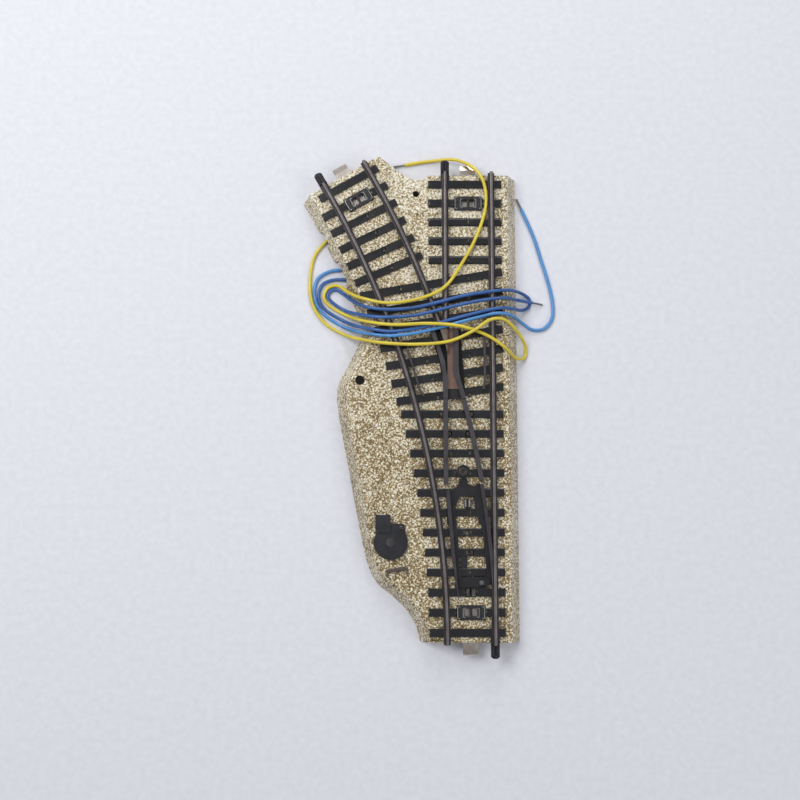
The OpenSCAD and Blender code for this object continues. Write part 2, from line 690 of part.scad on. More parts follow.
module solder_tags() color("silver") for (p = tag_places) translate([-curve_r, 0, 0]) rotate(asin(p / 347))
    box([346.4, -0.8, 0.6], [inner_r - 3.45, 0.8, 2]);

wire_z = wire_d / 2;
// Routes of the leads. Each starts at its solder tag, comes out under the left foot, and passes over
// the track; the upper strands cross the lower ones in long low humps.
yellow_route = [
    [-51.5, 157.5, 1.3], [-55.2, 155.6, 0.8], [-60.6, 148, wire_z], [-61.7, 134, wire_z],
    [-57.2, 124, wire_z], [-48.8, 118.2, 1.4], [-40.4, 115, 7.5], [-32, 113.2, 11.3],
    [-20, 112.7, 11.5], [-8, 113.8, 11.8], [1, 117.4, 13.6], [7.4, 121.6, 14.2], [13, 122.2, 12.2],
    [18.2, 118.8, 7.2], [22.2, 113.8, 1.8], [22, 109, 0.8], [18, 108.4, 5.3], [13, 112, 10.9],
    [6, 116.4, 11.8], [-4, 119.6, 12.8], [-16, 120.5, 12.9], [-29, 120.2, 12], [-39, 122, 8.3],
    [-47, 125.4, 1.6], [-54, 129.4, wire_z], [-56.4, 133, wire_z], [-54.6, 136.8, wire_z],
    [-50.6, 137.4, wire_z], [-46.4, 134.2, 3.6], [-41.4, 131, 9.5], [-31, 128.6, 12],
    [-18.6, 130.6, 11.5], [-9.6, 134.8, 11.7], [-3.4, 143.4, 9.2], [3.4, 156, 8.85], [7, 169, 8.85],
    [4.6, 180, 8.9], [-3.6, 187, 4.4], [-14, 187.8, 0.8], [-24.6, 186.2, wire_z]
];
blue_lower_route = [
    [-45.6, 145.4, 1.3], [-49.4, 144, 0.9], [-54.8, 143, wire_z], [-59.2, 139.6, wire_z],
    [-60, 133, wire_z], [-57.2, 127, wire_z], [-50.8, 122.4, wire_z], [-44.6, 119.4, 3.2],
    [-38.4, 117.2, 8.8], [-30.6, 116, 11.4], [-21.6, 116.9, 11.4], [-12.6, 118.9, 11.4],
    [-4, 121.2, 11.4], [4, 123.3, 11.4], [11, 124.8, 11.2], [16.4, 124.4, 8.2], [21, 122.4, 2.6],
    [25.4, 120, 0.7], [30, 120.6, wire_z], [33.2, 125, wire_z], [33.2, 132, wire_z],
    [31.4, 140, wire_z], [29, 148, wire_z], [26.6, 156, wire_z], [23.8, 163, wire_z],
    [21.4, 168.4, wire_z]
];
blue_upper_route = [
    [-43.8, 141.4, 1.3], [-47.6, 140, 0.9], [-52.4, 139.9, wire_z], [-57, 138, wire_z],
    [-58.4, 133, wire_z], [-56, 128.2, wire_z], [-49.8, 124.2, wire_z], [-43.6, 121, 4.2],
    [-37.2, 118.8, 9.8], [-29.6, 117.7, 11.4], [-18, 119.3, 11.4], [-6, 122.6, 11.4], [6, 125.7, 11.4],
    [12.4, 126.9, 10.9], [17, 127.1, 7.8], [21, 127.4, 2.2], [24, 129.2, wire_z], [24, 132.4, wire_z],
    [20.4, 134.4, 2.6], [15.6, 134.2, 8.8], [8.4, 133.2, 11.7], [-2, 131.6, 11.4], [-12, 129, 11.4],
    [-22, 126.8, 11.4], [-32, 126.2, 11.6], [-39.8, 127.6, 9.7], [-44.8, 130.8, 4],
    [-49.2, 134.6, wire_z], [-52.2, 136, wire_z], [-54.7, 134.2, wire_z], [-53.6, 131.4, wire_z],
    [-47.6, 127.4, 1.4], [-40.2, 124.5, 8.2], [-32, 123.2, 11.5], [-20, 124.1, 11.4], [-8, 127, 11.4],
    [4, 129.6, 11.4], [13.4, 130.8, 10.8], [19, 131, 5.2], [25.2, 130.4, 2.4]
];

// Line along a route, held up where it would dip below the surface
function lead_line(route) = [for (p = smooth(route, 2)) [p[0], p[1], max(p[2], wire_z)]];

// A lead swept along its route, with eight sides
module lead(route) {
    line = lead_line(route);
    r = wire_d / 2;
    m = len(line);
    up = [0, 0, 1];
    rings = [for (i = [0:m - 1]) let (h = heading(line, i), a = unit(cross(up, h)), b = cross(h, a))
        for (k = [0:7]) line[i] + r * (cos(45 * k + 22.5) * a + sin(45 * k + 22.5) * b)];
    sides = [for (i = [0:m - 2], k = [0:7])
        [i * 8 + k, (i + 1) * 8 + k, (i + 1) * 8 + (k + 1) % 8, i * 8 + (k + 1) % 8]];
    first = [for (k = [0:7]) k];
    last = [for (k = [7:-1:0]) (m - 1) * 8 + k];
    polyhedron(points = rings, faces = concat(sides, [first], [last]), convexity = 10);
}

// Bare tinned strands that stand out of a lead's free end
module tinned_end(route) {
    line = lead_line(route);
    end = line[len(line) - 1];
    way = unit(end - line[len(line) - 2]);
    translate(end) rotate([0, acos(way[2]), atan2(way[1], way[0])]) cylinder(r = 0.4, h = 4.6);
}

module lead_yellow() color("gold") lead(yellow_route);
module lead_blue_upper() color("steelblue") lead(blue_upper_route);
module lead_blue_lower() color("royalblue") lead(blue_lower_route);
module lead_ends() color("silver") for (route = [yellow_route, blue_upper_route, blue_lower_route])
    tinned_end(route);

ballast_shell();
ballast_shoulder();
sleepers_toe();
sleepers_frog();
sleepers_straight_end();
sleepers_branch_end();
stock_rail_straight();
stock_rail_curved();
closure_rail_straight();
closure_rail_curved();
frog_wings();
frog_nose();
frog_floor_plate();
exit_rail_straight();
exit_rail_branch();
check_rail_straight();
check_rail_branch();
joiner_tab_toe();
joiner_tab_straight();
joiner_tab_branch();
window_insulator_toe();
window_insulator_straight();
window_insulator_branch();
contact_spring_toe();
contact_spring_straight();
contact_spring_branch();
stud_strip_toe();
stud_strip_straight();
stud_strip_branch();
pivot_rivet();
slide_panel();
heel_contact_block();
heel_contact_strips();
blade_curved();
blade_straight();
heel_plate();
tie_bar();
drive_pin();
slide_plate();
slide_guides();
hand_lever();
lever_shaft();
lever_crank();
lever_rivet();
lantern_clip();
armature();
bobbin_front();
bobbin_rear();
winding_front();
winding_rear();
coil_yoke();
drive_cover();
cover_posts();
cover_screws();
terminal_board();
solder_tags();
lead_yellow();
lead_blue_upper();
lead_blue_lower();
lead_ends();
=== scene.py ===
"""Left-hand turnout of folded tin-plate model track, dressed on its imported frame.

Every sub-assembly is a class whose fields are its sizes in millimetres. Its build method makes the
pieces that replace plain CAD nodes, and its dress method gives every surface its finish.
"""

import logging
import math
from dataclasses import dataclass
from enum import Enum
from typing import Iterable, Sequence

import bmesh
import bpy
from mathutils import Matrix, Vector


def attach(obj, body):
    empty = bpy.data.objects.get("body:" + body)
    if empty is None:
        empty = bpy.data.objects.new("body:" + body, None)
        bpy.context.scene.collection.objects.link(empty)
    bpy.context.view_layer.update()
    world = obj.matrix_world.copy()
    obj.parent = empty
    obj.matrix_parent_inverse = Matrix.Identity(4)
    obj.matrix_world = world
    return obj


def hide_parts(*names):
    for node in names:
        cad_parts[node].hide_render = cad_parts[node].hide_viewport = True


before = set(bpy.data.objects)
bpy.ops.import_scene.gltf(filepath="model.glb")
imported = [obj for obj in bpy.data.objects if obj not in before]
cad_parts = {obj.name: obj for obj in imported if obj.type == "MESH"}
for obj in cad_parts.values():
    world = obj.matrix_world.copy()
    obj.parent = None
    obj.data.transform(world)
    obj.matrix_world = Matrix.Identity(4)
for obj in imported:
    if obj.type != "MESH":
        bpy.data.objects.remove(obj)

LOG = logging.getLogger("turnout")
MM = 0.001
# Angle between two faces above which their edge counts as sharp, in degrees
SHARP_DEG = 32.0
# Angle below which two faces of a CAD mesh count as one flat face, in degrees
FLAT_DEG = 0.8
# Corners nearer than this are one corner, in millimetres
SAME_CORNER_MM = 0.002
# Height of the rail heads' top, in millimetres
RAIL_TOP_MM = 10.7
# Radius of the branch in millimetres and its whole turn in degrees
BRANCH_RADIUS_MM = 360.0
BRANCH_TURN_DEG = 30.0
# Y of the far ends, in millimetres
FAR_END_MM = 180.0

Point = tuple[float, float, float]
Settings = dict[str, object]


class Body(Enum):
    """Rigid bodies of the frame that pieces ride on."""

    BED = "bed"
    POINTS = "points"
    SLIDE = "slide"
    LEVER = "lever"
    PLUNGER = "plunger"


# ------------------------------------------------------------------ colour and material graphs


def linear(hex_code: str) -> tuple[float, float, float, float]:
    """Turns an sRGB hex colour to linear RGBA.

    Args:
        hex_code: Colour such as "#d8d0b0".

    Returns:
        Linear red, green, blue and an alpha of 1.
    """
    parts = [int(hex_code[i : i + 2], 16) / 255 for i in (1, 3, 5)]
    r, g, b = [p / 12.92 if p <= 0.04045 else ((p + 0.055) / 1.055) ** 2.4 for p in parts]
    return (r, g, b, 1.0)


class Graph:
    """A material's node graph, with its shader, its output and object coordinates in millimetres."""

    def __init__(self, name: str) -> None:
        """Starts an empty material.

        Args:
            name: Name of the material.
        """
        self.material = bpy.data.materials.new(name)
        self.material.use_nodes = True
        self.tree = self.material.node_tree
        self.tree.nodes.clear()
        self.shader = self.add("ShaderNodeBsdfPrincipled")
        self.add("ShaderNodeOutputMaterial", links={"Surface": self.shader.outputs["BSDF"]})
        place = self.add("ShaderNodeTexCoord")
        self.mm = self.add(
            "ShaderNodeVectorMath",
            {"operation": "SCALE", "Scale": 1 / MM},
            {0: place.outputs["Object"]},
        ).outputs[0]

    def add(
        self, kind: str, settings: Settings | None = None, links: dict[object, object] | None = None
    ) -> bpy.types.Node:
        """Adds a node.

        Args:
            kind: Blender's name of the node's type.
            settings: Values of its inputs or properties. "stops" holds a colour ramp's list of
                (position, hex colour).
            links: Sockets of other nodes, by this node's input name or index.

        Returns:
            The new node.
        """
        node = self.tree.nodes.new(kind)
        for key, value in (settings or {}).items():
            if key == "stops":
                ramp = node.color_ramp
                while len(ramp.elements) < len(value):
                    ramp.elements.new(0.5)
                for element, (position, colour) in zip(ramp.elements, value):
                    element.position = position
                    element.color = linear(colour)
            elif key in node.inputs:
                node.inputs[key].default_value = value
            elif key.isdigit():
                node.inputs[int(key)].default_value = value
            else:
                setattr(node, key, value)
        for key, socket in (links or {}).items():
            self.tree.links.new(socket, node.inputs[key])
        return node

    def finish(self, settings: Settings, links: dict[str, object]) -> bpy.types.Material:
        """Sets the shader's own values and its linked inputs.

        Args:
            settings: Constant values by socket name.
            links: Sockets that drive the shader by socket name.

        Returns:
            The material.
        """
        for key, value in settings.items():
            self.shader.inputs[key].default_value = value
        for key, socket in links.items():
            self.tree.links.new(socket, self.shader.inputs[key])
        return self.material

    def bump(self, height: object, depth_mm: float, strength: float = 1.0) -> object:
        """Turns a height into a normal.

        Args:
            height: Socket with the height from 0 to 1.
            depth_mm: Real height of 1, in millimetres.
            strength: Share of the effect.

        Returns:
            The normal's socket.
        """
        node = self.add(
            "ShaderNodeBump", {"Distance": depth_mm * MM, "Strength": strength}, {"Height": height}
        )
        return node.outputs["Normal"]


# ------------------------------------------------------------------ finishes


@dataclass(frozen=True)
class PrintedBallast:
    """Sheet steel printed with ballast and lacquered: pale worm-like stones on a gold-brown ground.

    The inside of the sheet has no print, only olive lacquer.
    """

    # Stones of 0.5 to 0.9 mm, which is 1:87 ballast
    stone_mm: float = 0.78
    ground: str = "#65553a"
    gold: str = "#937d52"
    tan: str = "#b0a27e"
    cream: str = "#d6d0bb"
    light: str = "#efebdf"
    olive: str = "#6f6f5a"
    # The colour runs browner near the toe and paler at the far end; both are places along Y
    brown_end_mm: float = 70.0
    pale_end_mm: float = 165.0
    # Size of the drifts in which the print comes out lighter or darker
    patch_mm: float = 14.0
    # Depth of the bump that sets the stones apart, and the share of it that is used
    relief_mm: float = 0.15
    relief_share: float = 0.6

    def material(self) -> bpy.types.Material:
        """Builds the material.

        Returns:
            The material.
        """
        g = Graph("printed_ballast_sheet")
        drift = g.add("ShaderNodeTexNoise", {"Scale": 0.7 / self.stone_mm, "Detail": 1.0}, {"Vector": g.mm})
        moved = g.add(
            "ShaderNodeVectorMath", {"operation": "MULTIPLY_ADD", "1": (0.8, 0.8, 0.8)},
            {0: drift.outputs["Color"], 2: g.mm},
        ).outputs[0]
        stones = g.add(
            "ShaderNodeTexVoronoi", {"feature": "F1", "Scale": 1 / self.stone_mm, "Randomness": 0.9},
            {"Vector": moved},
        )
        worms = g.add(
            "ShaderNodeTexNoise",
            {"Scale": 1.3 / self.stone_mm, "Detail": 1.0, "Distortion": 0.9}, {"Vector": moved},
        )
        # Stones are light where either pattern says so, so that neighbours run into each other
        round_stones = g.add(
            "ShaderNodeMapRange", {"From Min": 0.2, "From Max": 0.62, "To Min": 0.7, "To Max": 0.3},
            {"Value": stones.outputs["Distance"]},
        )
        height = g.add(
            "ShaderNodeMix", {"Factor": 0.52}, {2: round_stones.outputs[0], 3: worms.outputs["Fac"]}
        ).outputs[0]
        far = g.add("ShaderNodeSeparateXYZ", links={0: g.mm})
        pale = g.add(
            "ShaderNodeMapRange",
            {"From Min": self.brown_end_mm, "From Max": self.pale_end_mm, "To Min": -0.012,
             "To Max": 0.03},
            {"Value": far.outputs["Y"]},
        )
        patches = g.add(
            "ShaderNodeTexNoise", {"Scale": 1 / self.patch_mm, "Detail": 3.0}, {"Vector": g.mm}
        )
        tide = g.add(
            "ShaderNodeMapRange",
            {"From Min": 0.3, "From Max": 0.7, "To Min": -0.035, "To Max": 0.035},
            {"Value": patches.outputs["Fac"]},
        )
        shifted = g.add("ShaderNodeMath", {"operation": "ADD"}, {0: height, 1: pale.outputs[0]})
        level = g.add(
            "ShaderNodeMath", {"operation": "ADD"}, {0: shifted.outputs[0], 1: tide.outputs[0]}
        )
        printed = g.add(
            "ShaderNodeValToRGB",
            {"stops": [
                (0.35, self.ground), (0.42, self.gold), (0.462, self.tan), (0.505, self.cream),
                (0.585, self.light),
            ]},
            {"Fac": level.outputs[0]},
        )
        # Each stone has its own tone: grey, ochre or white
        single = g.add(
            "ShaderNodeValToRGB",
            {"stops": [(0.0, "#b3b2ac"), (0.35, "#ffffff"), (0.65, "#e9dfc6"), (1.0, "#fbfbfb")]},
            {"Fac": stones.outputs["Color"]},
        )
        toned = g.add(
            "ShaderNodeMix", {"data_type": "RGBA", "blend_type": "MULTIPLY", "0": 0.8},
            {6: printed.outputs["Color"], 7: single.outputs["Color"]},
        )
        facing = g.add("ShaderNodeNewGeometry")
        way = g.add("ShaderNodeSeparateXYZ", links={0: facing.outputs["Normal"]})
        under = g.add("ShaderNodeMath", {"operation": "LESS_THAN", "1": -0.08}, {0: way.outputs["Z"]})
        # Lacquer on the inside has gathered dust in patches
        inside = g.add(
            "ShaderNodeValToRGB", {"stops": [(0.35, self.olive), (0.7, "#84836c")]},
            {"Fac": patches.outputs["Fac"]},
        )
        both = g.add(
            "ShaderNodeMix", {"data_type": "RGBA"},
            {0: under.outputs[0], 6: toned.outputs[2], 7: inside.outputs["Color"]},
        )
        rough = g.add(
            "ShaderNodeMapRange", {"To Min": 0.26, "To Max": 0.46}, {"Value": patches.outputs["Fac"]}
        )
        return g.finish(
            {"IOR": 1.5, "Coat Weight": 0.2, "Coat Roughness": 0.2},
            {
                "Base Color": both.outputs[2],
                "Roughness": rough.outputs[0],
                "Normal": g.bump(height, self.relief_mm, self.relief_share),
            },
        )


@dataclass(frozen=True)
class Lacquer:
    """Stoved lacquer on pressed steel: an even colour with orange peel, and dust that turns it to a worn
    tone in patches.
    """

    name: str
    colour: str
    worn: str
    roughness: float = 0.3
    peel_mm: float = 0.9
    peel_depth_mm: float = 0.02
    dust_mm: float = 7.0
    coat: float = 0.3

    def material(self) -> bpy.types.Material:
        """Builds the material.

        Returns:
            The material.
        """
        g = Graph(self.name)
        peel = g.add("ShaderNodeTexNoise", {"Scale": 1 / self.peel_mm, "Detail": 2.0}, {"Vector": g.mm})
        dust = g.add(
            "ShaderNodeTexNoise", {"Scale": 1 / self.dust_mm, "Detail": 6.0, "Roughness": 0.65},
            {"Vector": g.mm},
        )
        spread = g.add(
            "ShaderNodeValToRGB",
            {"stops": [(0.42, self.colour), (0.78, self.worn)]},
            {"Fac": dust.outputs["Fac"]},
        )
        rough = g.add(
            "ShaderNodeMapRange",
            {"To Min": self.roughness - 0.07, "To Max": self.roughness + 0.14},
            {"Value": dust.outputs["Fac"]},
        )
        return g.finish(
            {"IOR": 1.5, "Coat Weight": self.coat, "Coat Roughness": 0.15},
            {
                "Base Color": spread.outputs["Color"],
                "Roughness": rough.outputs[0],
                "Normal": g.bump(peel.outputs["Fac"], self.peel_depth_mm),
            },
        )


class Lay(Enum):
    """Direction of the fine marks that rolling or drawing leaves on metal."""

    ACROSS_X = (0.12, 1.0, 1.0)
    ALONG_Y = (1.0, 0.06, 1.0)
    EVEN = (1.0, 1.0, 1.0)


@dataclass(frozen=True)
class Metal:
    """Bare or plated metal: colour varies with tarnish, roughness follows fine rolling marks."""

    name: str
    colour: str
    tarnish: str
    roughness: float = 0.32
    metallic: float = 1.0
    mark_mm: float = 0.25
    mark_depth_mm: float = 0.01
    patch_mm: float = 5.0
    lay: Lay = Lay.EVEN
    # Height above which wheels have rubbed the metal bright, or None
    rubbed_above_mm: float | None = None
    rubbed: str = "#8a8580"
    # Band of X, in millimetres, outside which black covers the metal, or None
    bare_between_mm: tuple[float, float] | None = None
    covered: str = "#1d1b1d"

    def material(self) -> bpy.types.Material:
        """Builds the material.

        Returns:
            The material.
        """
        g = Graph(self.name)
        lay = g.add(
            "ShaderNodeVectorMath", {"operation": "MULTIPLY", "1": self.lay.value}, {0: g.mm}
        )
        marks = g.add(
            "ShaderNodeTexNoise", {"Scale": 1 / self.mark_mm, "Detail": 3.0}, {"Vector": lay.outputs[0]}
        )
        patches = g.add(
            "ShaderNodeTexNoise", {"Scale": 1 / self.patch_mm, "Detail": 5.0, "Roughness": 0.6},
            {"Vector": g.mm},
        )
        tone = g.add(
            "ShaderNodeValToRGB",
            {"stops": [(0.36, self.colour), (0.68, self.tarnish)]},
            {"Fac": patches.outputs["Fac"]},
        )
        colour = tone.outputs["Color"]
        if self.rubbed_above_mm is not None:
            height = g.add("ShaderNodeSeparateXYZ", links={0: g.mm})
            rub = g.add(
                "ShaderNodeMapRange",
                {"From Min": self.rubbed_above_mm - 0.3, "From Max": self.rubbed_above_mm},
                {"Value": height.outputs["Z"]},
            )
            broken = g.add(
                "ShaderNodeMath", {"operation": "MULTIPLY"},
                {0: rub.outputs[0], 1: patches.outputs["Fac"]},
            )
            boosted = g.add(
                "ShaderNodeMath", {"operation": "MULTIPLY", "1": 1.7, "use_clamp": True},
                {0: broken.outputs[0]},
            )
            mixed = g.add(
                "ShaderNodeMix", {"data_type": "RGBA", "7": linear(self.rubbed)},
                {0: boosted.outputs[0], 6: colour},
            )
            colour = mixed.outputs[2]
        if self.bare_between_mm is not None:
            low, high = self.bare_between_mm
            across = g.add("ShaderNodeSeparateXYZ", links={0: g.mm})
            away = g.add(
                "ShaderNodeMath", {"operation": "COMPARE", "1": (low + high) / 2, "2": (high - low) / 2},
                {0: across.outputs["X"]},
            )
            bare = g.add(
                "ShaderNodeMix", {"data_type": "RGBA", "6": linear(self.covered)},
                {0: away.outputs[0], 7: colour},
            )
            colour = bare.outputs[2]
        rough = g.add(
            "ShaderNodeMapRange",
            {"To Min": max(self.roughness - 0.1, 0.05), "To Max": self.roughness + 0.14},
            {"Value": marks.outputs["Fac"]},
        )
        return g.finish(
            {"Metallic": self.metallic},
            {
                "Base Color": colour,
                "Roughness": rough.outputs[0],
                "Normal": g.bump(marks.outputs["Fac"], self.mark_depth_mm, 0.6),
            },
        )


@dataclass(frozen=True)
class Moulded:
    """Moulded or laminated insulating material: faint flow marks and a fine mould grain."""

    name: str
    colour: str
    second: str
    roughness: float = 0.45
    grain_mm: float = 0.3
    grain_depth_mm: float = 0.012
    flow_mm: float = 4.0
    coat: float = 0.0

    def material(self) -> bpy.types.Material:
        """Builds the material.

        Returns:
            The material.
        """
        g = Graph(self.name)
        grain = g.add("ShaderNodeTexNoise", {"Scale": 1 / self.grain_mm, "Detail": 2.0}, {"Vector": g.mm})
        flow = g.add(
            "ShaderNodeTexNoise", {"Scale": 1 / self.flow_mm, "Detail": 3.0, "Distortion": 0.8},
            {"Vector": g.mm},
        )
        tone = g.add(
            "ShaderNodeValToRGB",
            {"stops": [(0.35, self.colour), (0.7, self.second)]},
            {"Fac": flow.outputs["Fac"]},
        )
        rough = g.add(
            "ShaderNodeMapRange",
            {"To Min": self.roughness - 0.06, "To Max": self.roughness + 0.1},
            {"Value": flow.outputs["Fac"]},
        )
        return g.finish(
            {"IOR": 1.5, "Coat Weight": self.coat},
            {
                "Base Color": tone.outputs["Color"],
                "Roughness": rough.outputs[0],
                "Normal": g.bump(grain.outputs["Fac"], self.grain_depth_mm),
            },
        )


@dataclass(frozen=True)
class WoundWire:
    """Enamelled copper wire laid turn beside turn, which shows as a fine ribbing."""

    turn_mm: float = 0.4
    groove_mm: float = 0.08
    copper: str = "#a4532a"
    shadow: str = "#4c1f12"

    def material(self) -> bpy.types.Material:
        """Builds the material.

        Returns:
            The material.
        """
        g = Graph("enamelled_copper_turns")
        turns = g.add(
            "ShaderNodeTexWave",
            {"bands_direction": "Y", "Scale": math.tau / (20 * self.turn_mm), "Distortion": 0.5,
             "Detail Scale": 0.4},
            {"Vector": g.mm},
        )
        tone = g.add(
            "ShaderNodeValToRGB",
            {"stops": [(0.1, self.shadow), (0.6, self.copper)]},
            {"Fac": turns.outputs["Fac"]},
        )
        return g.finish(
            {"Metallic": 0.7, "Roughness": 0.3, "Coat Weight": 0.5},
            {"Base Color": tone.outputs["Color"], "Normal": g.bump(turns.outputs["Fac"], self.groove_mm)},
        )


# ------------------------------------------------------------------ meshes


def copy_of(node: str, name: str) -> bpy.types.Object:
    """Copies a CAD node's mesh into a new object, with its coplanar triangles joined.

    Args:
        node: Name of the CAD node.
        name: Name of the new piece.

    Returns:
        The new object, linked to the scene.
    """
    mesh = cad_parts[node].data.copy()
    mesh.materials.clear()
    work = bmesh.new()
    work.from_mesh(mesh)
    bmesh.ops.remove_doubles(work, verts=work.verts, dist=SAME_CORNER_MM * MM)
    bmesh.ops.dissolve_limit(
        work, angle_limit=math.radians(FLAT_DEG), verts=work.verts, edges=work.edges
    )
    bmesh.ops.triangulate(work, faces=work.faces)
    work.to_mesh(mesh)
    work.free()
    mesh.name = name
    piece = bpy.data.objects.new(name, mesh)
    bpy.context.scene.collection.objects.link(piece)
    return piece


def eased(
    piece: bpy.types.Object, width_mm: float, steps: int = 2, shortest_mm: float = 0.0
) -> bpy.types.Object:
    """Rounds a piece's sharp edges and smooths its shading.

    Args:
        piece: The piece.
        width_mm: Width of the rounding.
        steps: Faces across it.
        shortest_mm: Edges shorter than this stay sharp, so that small slots don't limit the width.

    Returns:
        The same piece.
    """
    sharp = math.radians(SHARP_DEG)
    bevel = piece.modifiers.new("eased_edges", "BEVEL")
    bevel.width = width_mm * MM
    bevel.segments = steps
    if shortest_mm:
        work = bmesh.new()
        work.from_mesh(piece.data)
        weight = work.edges.layers.float.new("bevel_weight_edge")
        for edge in work.edges:
            if edge.calc_length() <= shortest_mm * MM or not edge.is_manifold:
                continue
            if edge.calc_face_angle() > sharp:
                edge[weight] = 1.0
        work.to_mesh(piece.data)
        work.free()
        bevel.limit_method = "WEIGHT"
    else:
        bevel.limit_method = "ANGLE"
        bevel.angle_limit = sharp
    for polygon in piece.data.polygons:
        polygon.use_smooth = True
    normals = piece.modifiers.new("flat_faces", "WEIGHTED_NORMAL")
    normals.keep_sharp = True
    return piece


def mesh_piece(
    name: str, points: Sequence[Sequence[float]], faces: Sequence[Sequence[int]]
) -> bpy.types.Object:
    """Makes a piece from points in millimetres.

    Args:
        name: Name of the piece.
        points: Its corners.
        faces: Corner numbers of each face.

    Returns:
        The new object.
    """
    mesh = bpy.data.meshes.new(name)
    mesh.from_pydata([[c * MM for c in p] for p in points], [], [list(f) for f in faces])
    mesh.validate()
    work = bmesh.new()
    work.from_mesh(mesh)
    bmesh.ops.recalc_face_normals(work, faces=work.faces)
    work.to_mesh(mesh)
    work.free()
    piece = bpy.data.objects.new(name, mesh)
    bpy.context.scene.collection.objects.link(piece)
    return piece


def joined_blocks(name: str, blocks: Iterable[tuple[Point, Point]], place: Matrix) -> bpy.types.Object:
    """Makes one piece of several straight-edged blocks.

    Args:
        name: Name of the piece.
        blocks: Lowest and highest corner of each, in millimetres.
        place: Where they go.

    Returns:
        The new object.
    """
    points: list[list[float]] = []
    faces: list[list[int]] = []
    sides = [(0, 2, 3, 1), (4, 5, 7, 6), (0, 1, 5, 4), (2, 6, 7, 3), (0, 4, 6, 2), (1, 3, 7, 5)]
    for low, high in blocks:
        start = len(points)
        # Bit a of a corner's number says whether it lies at the high end of axis a
        for k in range(8):
            corner = [high[a] if k >> a & 1 else low[a] for a in range(3)]
            points.append(list(place @ Vector(corner)))
        faces += [[start + c for c in side] for side in sides]
    return mesh_piece(name, points, faces)


def smoothed(route: Sequence[Point], steps: int, floor_mm: float) -> list[Vector]:
    """Runs a smooth line through a route's points.

    Args:
        route: The points, in millimetres.
        steps: Steps from one point to the next.
        floor_mm: Lowest height of the line.

    Returns:
        The line's points, in millimetres.
    """
    p = [Vector(q) for q in route]
    line = []
    for i in range(len(p) - 1):
        a, b, c, d = p[max(i - 1, 0)], p[i], p[i + 1], p[min(i + 2, len(p) - 1)]
        for k in range(steps):
            t = k / steps
            line.append(
                b + (c - a) * t / 2 + (2 * a - 5 * b + 4 * c - d) * t**2 / 2
                + (3 * b - a - 3 * c + d) * t**3 / 2
            )
    line.append(p[-1])
    for q in line:
        q.z = max(q.z, floor_mm)
    return line


def length_of(line: Sequence[Vector]) -> float:
    """Adds up the stretches of a line.

    Args:
        line: Its points.

    Returns:
        Its length, in the points' unit.
    """
    return sum((b - a).length for a, b in zip(line, line[1:]))


# ------------------------------------------------------------------ leads


@dataclass
class Lead:
    """One insulated lead: its route from the solder tag to its bare end, in millimetres."""

    name: str
    node: str
    finish: Moulded
    route: tuple[Point, ...]
    diameter: float = 1.3
    bare_length: float = 4.6
    # How far the strands start inside the insulation
    bare_inset: float = 0.2
    strand: float = 0.26
    strands: int = 7
    # Turns that the strands make round each other, and the faces along and round each strand
    twist: float = 0.9
    strand_steps: int = 10
    strand_sides: int = 8

    def line(self, steps: int = 8) -> list[Vector]:
        """Finds the points of the lead's centre line, with some steps from each route point to the next."""
        return smoothed(self.route, steps, self.diameter / 2)

    def build(self) -> list[bpy.types.Object]:
        """Makes the insulated lead and its twisted bare end.

        Returns:
            The lead and the bare end.
        """
        line = self.line()
        curve = bpy.data.curves.new(self.name, "CURVE")
        curve.dimensions = "3D"
        curve.bevel_depth = self.diameter / 2 * MM
        curve.bevel_resolution = 4
        curve.use_fill_caps = True
        spline = curve.splines.new("POLY")
        spline.points.add(len(line) - 1)
        for point, place in zip(spline.points, line):
            point.co = (*(place * MM), 1.0)
        spline.use_smooth = True
        lead = bpy.data.objects.new(self.name, curve)
        bpy.context.scene.collection.objects.link(lead)
        curve.materials.append(self.finish.material())
        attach(lead, Body.BED.value)
        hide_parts(self.node)
        end = self.bare_end(line)
        return [lead, end]

    def bare_end(self, line: Sequence[Vector]) -> bpy.types.Object:
        """Makes the tinned strands, twisted round each other, that stand out of the insulation.

        Args:
            line: The lead's centre line.

        Returns:
            The piece.
        """
        coarse = self.line(2)
        way = (coarse[-1] - coarse[-2]).normalized()
        side = way.cross(Vector((0, 0, 1))).normalized()
        up = side.cross(way)
        r = self.strand / 2
        sides = self.strand_sides
        rings = self.strand_steps
        points: list[Vector] = []
        faces: list[list[int]] = []
        for s in range(self.strands):
            start = len(points)
            # The first strand is the core that the others lie round
            ring = 0.0 if s == 0 else self.strand
            for i in range(rings + 1):
                t = i / rings
                turn = math.tau * (s / (self.strands - 1) + self.twist * t)
                middle = (
                    line[-1] + way * (self.bare_length * t - self.bare_inset)
                    + (side * math.cos(turn) + up * math.sin(turn)) * ring
                )
                for k in range(sides):
                    a = math.tau * k / sides
                    points.append(middle + (side * math.cos(a) + up * math.sin(a)) * r)
            for i in range(rings):
                for k in range(sides):
                    a, b = start + i * sides + k, start + i * sides + (k + 1) % sides
                    faces.append([a, b, b + sides, a + sides])
            faces.append([start + k for k in range(sides)])
            faces.append([start + rings * sides + k for k in reversed(range(sides))])
        end = mesh_piece(self.name + "_bare_end", points, faces)
        for polygon in end.data.polygons:
            polygon.use_smooth = len(polygon.vertices) == 4
        end.data.materials.append(
            Metal("tinned_strands", "#8e8e8c", "#5f6062", roughness=0.3, mark_mm=0.15).material()
        )
        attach(end, Body.BED.value)
        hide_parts("lead_ends")
        return end


